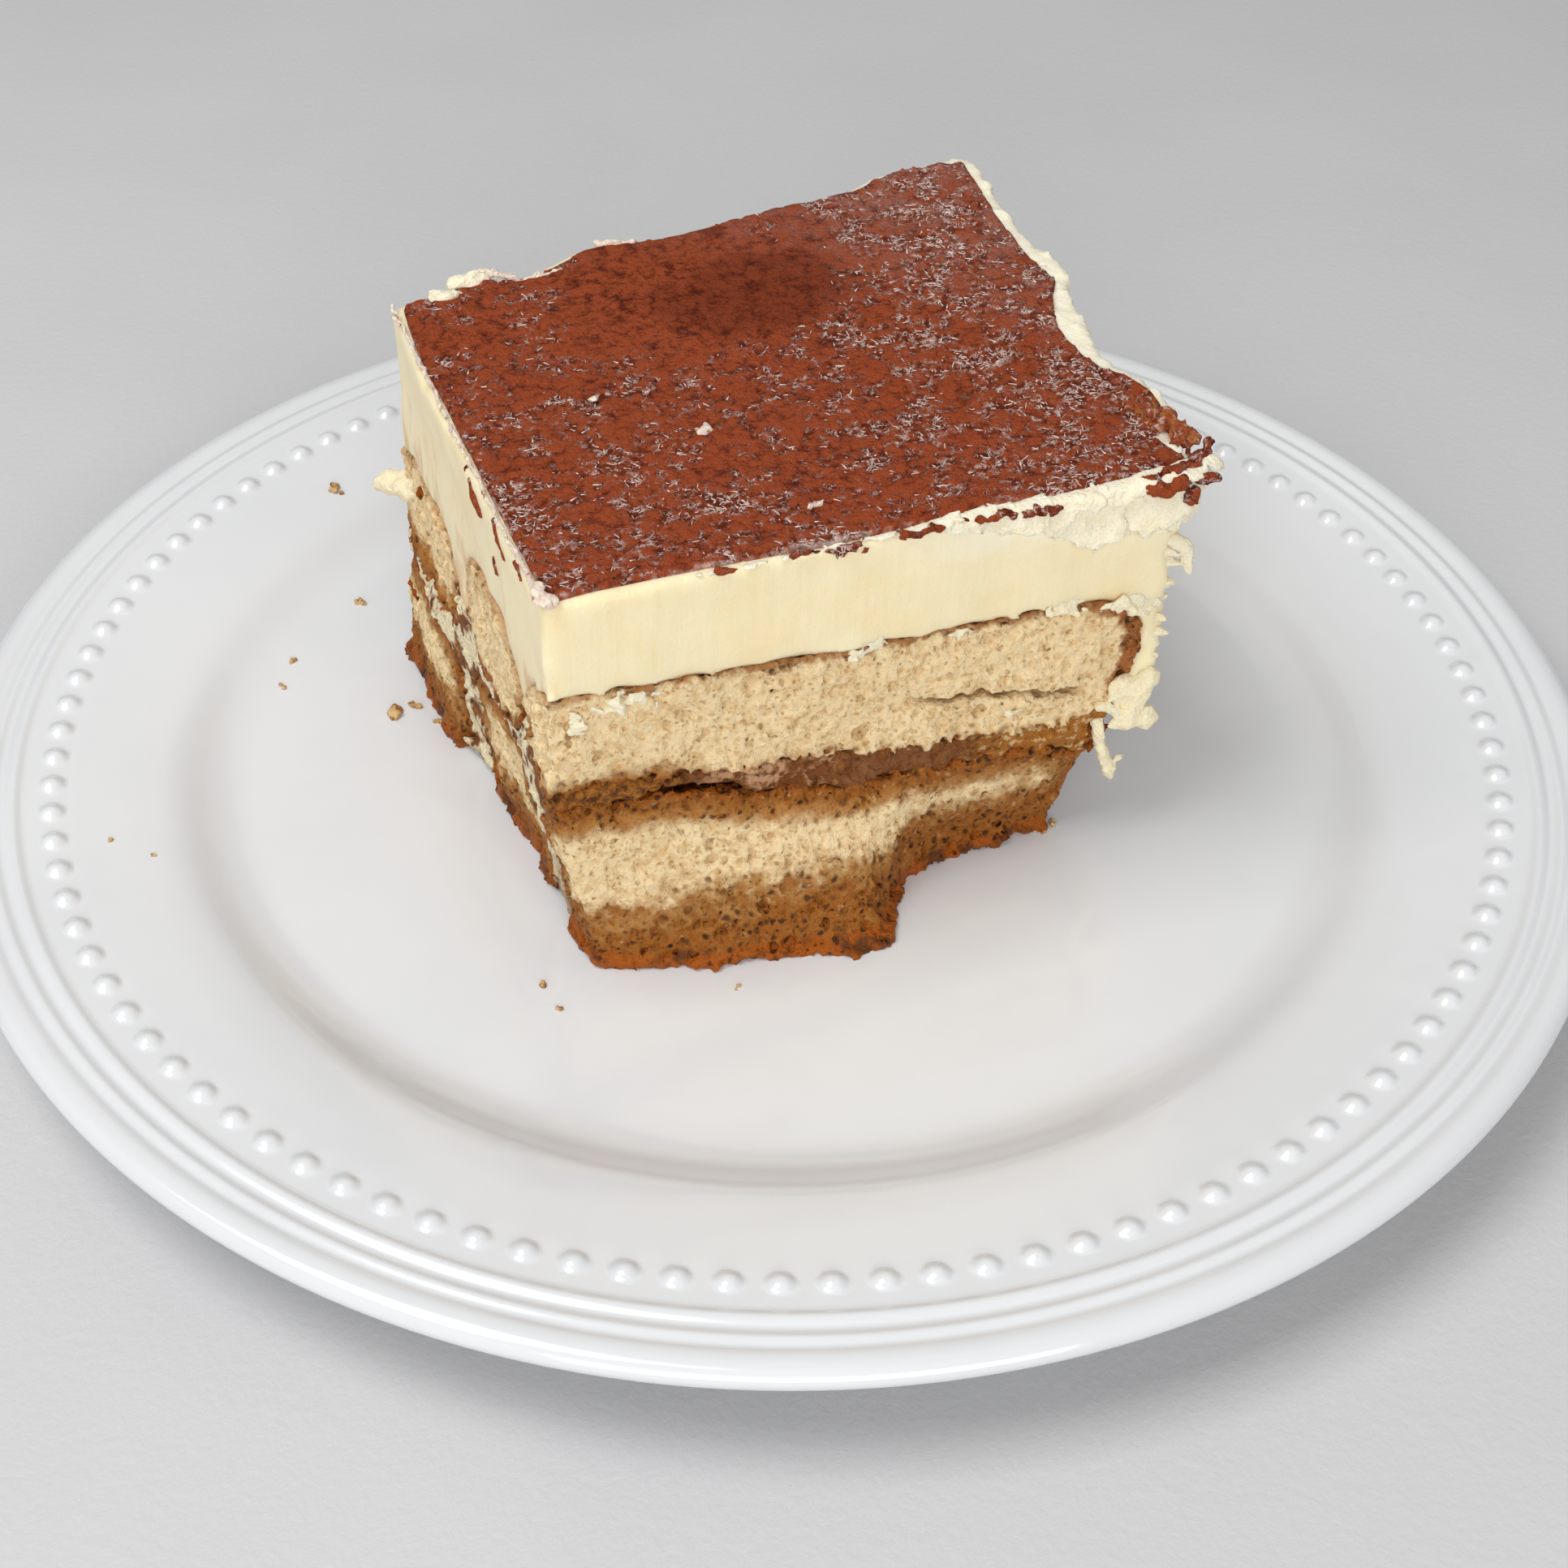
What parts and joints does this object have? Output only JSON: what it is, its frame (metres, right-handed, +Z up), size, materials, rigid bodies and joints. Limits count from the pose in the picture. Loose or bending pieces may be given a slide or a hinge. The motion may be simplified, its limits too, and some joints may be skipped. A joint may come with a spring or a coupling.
{
  "type": "tiramisu portion",
  "caption": "Cut portion of tiramisu with cream, soaked ladyfingers and a cocoa top, on a round white plate with a beaded rim.",
  "frame": {"origin": "centre of the plate's foot ring, on the surface that the plate stands on", "axes": "+Z up; the viewer of the picture stands on the -Y side, and +X is to the viewer's right"},
  "size_m": [0.23, 0.2296, 0.07],
  "materials": {
    "porcelain": "glossy white glaze",
    "sponge": "porous crumb, pale inside, brown and moist where soaked in coffee",
    "cream": "smooth, soft sheen",
    "coffee_cream": "cream stained by coffee, moist",
    "cocoa": "fine matt powder with moist pale specks"
  },
  "bodies": {
    "root": {"plate": "porcelain", "sponge_lower_front": "sponge", "sponge_lower_middle": "sponge", "sponge_lower_back": "sponge", "sponge_upper_front": "sponge", "sponge_upper_middle": "sponge", "sponge_upper_back": "sponge", "cream_middle": "coffee_cream", "cream_top": "cream", "cocoa": "cocoa"}
  },
  "joints": []
}
